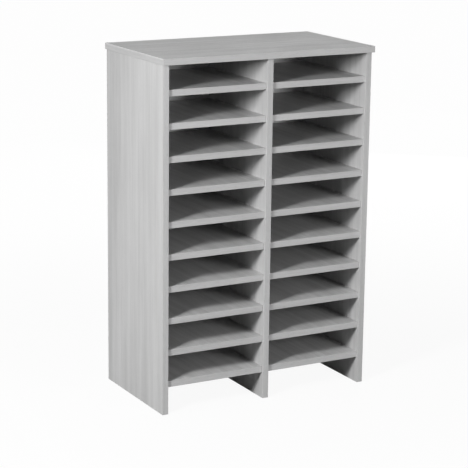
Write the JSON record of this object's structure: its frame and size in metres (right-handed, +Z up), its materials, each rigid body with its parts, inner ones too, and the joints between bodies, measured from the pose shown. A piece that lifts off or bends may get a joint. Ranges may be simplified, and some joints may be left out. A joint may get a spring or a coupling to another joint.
{
  "type": "pigeonhole unit",
  "caption": "Free-standing pigeonhole unit of wood-grain boards: fixed shelves between uprights that stand on the floor, over an open toe gap and under an overhanging top.",
  "frame": {"origin": "on the floor, at the middle of the outer box", "axes": "+Z up, the open front faces -Y, +X to the right seen from the front"},
  "size_m": [0.705, 0.393, 1.055],
  "materials": {
    "board": null,
    "edging": "satin wood-grain edging strip, rounded at its outer corners",
    "back_panel": "thin wood-grain panel, satin",
    "dowel": "plain beech, unfinished",
    "screw": "zinc-plated"
  },
  "bodies": {
    "root": {"back_panel": "back_panel", "back_panel_screws": "screw", "centre_divider": "board", "centre_divider_edging_front": "edging", "left_side": "board", "left_side_edging_back": "edging", "left_side_edging_front": "edging", "right_side": "board", "right_side_edging_back": "edging", "right_side_edging_front": "edging", "shelf_dowels_left": "dowel", "shelf_dowels_right": "dowel", "shelf_dowels_through_divider": "dowel", "shelf_left_row_01": "board", "shelf_left_row_01_edging": "edging", "shelf_left_row_02": "board", "shelf_left_row_02_edging": "edging", "shelf_left_row_03": "board", "shelf_left_row_03_edging": "edging", "shelf_left_row_04": "board", "shelf_left_row_04_edging": "edging", "shelf_left_row_05": "board", "shelf_left_row_05_edging": "edging", "shelf_left_row_06": "board", "shelf_left_row_06_edging": "edging", "shelf_left_row_07": "board", "shelf_left_row_07_edging": "edging", "shelf_left_row_08": "board", "shelf_left_row_08_edging": "edging", "shelf_left_row_09": "board", "shelf_left_row_09_edging": "edging", "shelf_left_row_10": "board", "shelf_left_row_10_edging": "edging", "shelf_right_row_01": "board", "shelf_right_row_01_edging": "edging", "shelf_right_row_02": "board", "shelf_right_row_02_edging": "edging", "shelf_right_row_03": "board", "shelf_right_row_03_edging": "edging", "shelf_right_row_04": "board", "shelf_right_row_04_edging": "edging", "shelf_right_row_05": "board", "shelf_right_row_05_edging": "edging", "shelf_right_row_06": "board", "shelf_right_row_06_edging": "edging", "shelf_right_row_07": "board", "shelf_right_row_07_edging": "edging", "shelf_right_row_08": "board", "shelf_right_row_08_edging": "edging", "shelf_right_row_09": "board", "shelf_right_row_09_edging": "edging", "shelf_right_row_10": "board", "shelf_right_row_10_edging": "edging", "top_board": "board", "top_dowels": "dowel", "top_edging_back": "edging", "top_edging_front": "edging", "top_edging_left": "edging", "top_edging_right": "edging"}
  },
  "joints": []
}
